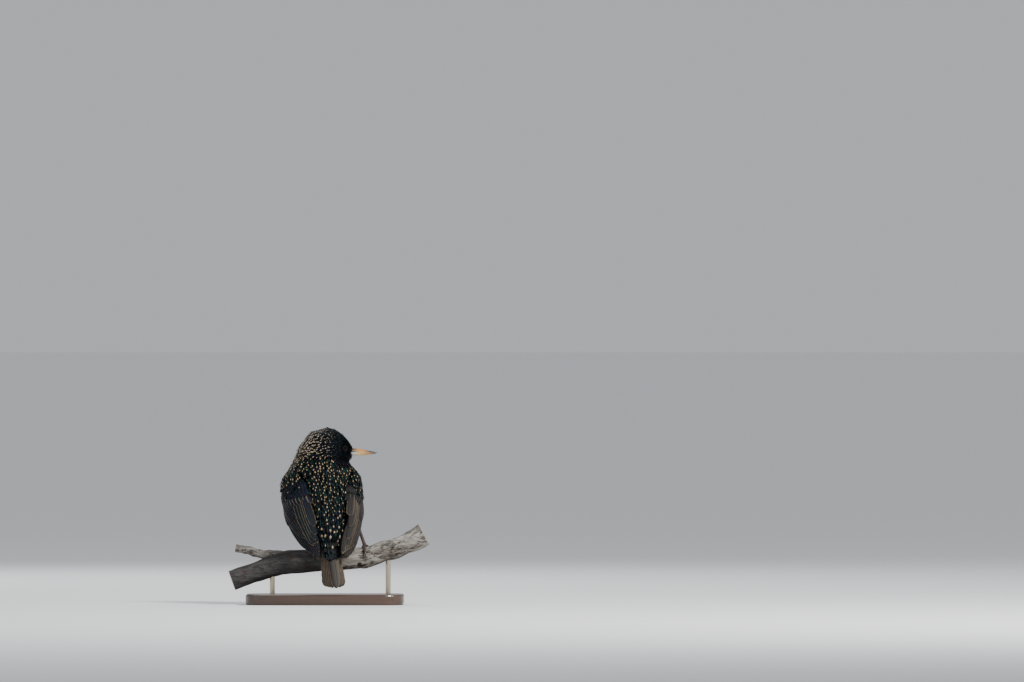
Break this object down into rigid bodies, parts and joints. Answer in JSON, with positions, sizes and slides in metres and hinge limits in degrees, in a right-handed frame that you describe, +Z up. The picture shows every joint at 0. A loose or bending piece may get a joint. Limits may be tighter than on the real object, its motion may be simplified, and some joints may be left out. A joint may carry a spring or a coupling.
{
  "type": "perched starling on a display stand",
  "caption": "Life-size starling seen from behind, head turned over its right shoulder, gripping a short branch held by a flat stand.",
  "frame": {"origin": "middle of the underside of the display base", "axes": "+Z up, +X to the right seen from behind the bird, +Y ahead of the bird; its back faces -Y"},
  "size_m": [0.1905, 0.0952, 0.1681],
  "materials": {
    "plumage": "body feathers, black with a blue, green and purple gloss",
    "flight_feathers": "dark brown vanes with buff edges",
    "bill": "horn, orange-yellow",
    "eye": "dark brown, wet",
    "leg_skin": "scaled skin, red-brown",
    "claw": "dark horn",
    "branch": "dead wood, weathered grey",
    "stand_wood": "dark stained, satin",
    "stand_metal": "brushed"
  },
  "bodies": {
    "root": {"torso": "plumage", "neck": "plumage", "head": "plumage", "eye_left": "eye", "eye_right": "eye", "bill_upper": "bill", "bill_lower": "bill", "wing_left": "flight_feathers", "wing_right": "flight_feathers", "tail": "flight_feathers", "leg_left": "plumage", "leg_right": "plumage", "tarsus_left": "leg_skin", "tarsus_right": "leg_skin", "foot_left": "leg_skin", "foot_right": "leg_skin", "claw_left_inner": "claw", "claw_left_middle": "claw", "claw_left_outer": "claw", "claw_left_hind": "claw", "claw_right_inner": "claw", "claw_right_middle": "claw", "claw_right_outer": "claw", "claw_right_hind": "claw", "perch": "branch", "stand_base": "stand_wood", "stand_rod_left": "stand_metal", "stand_rod_right": "stand_metal"}
  },
  "joints": []
}
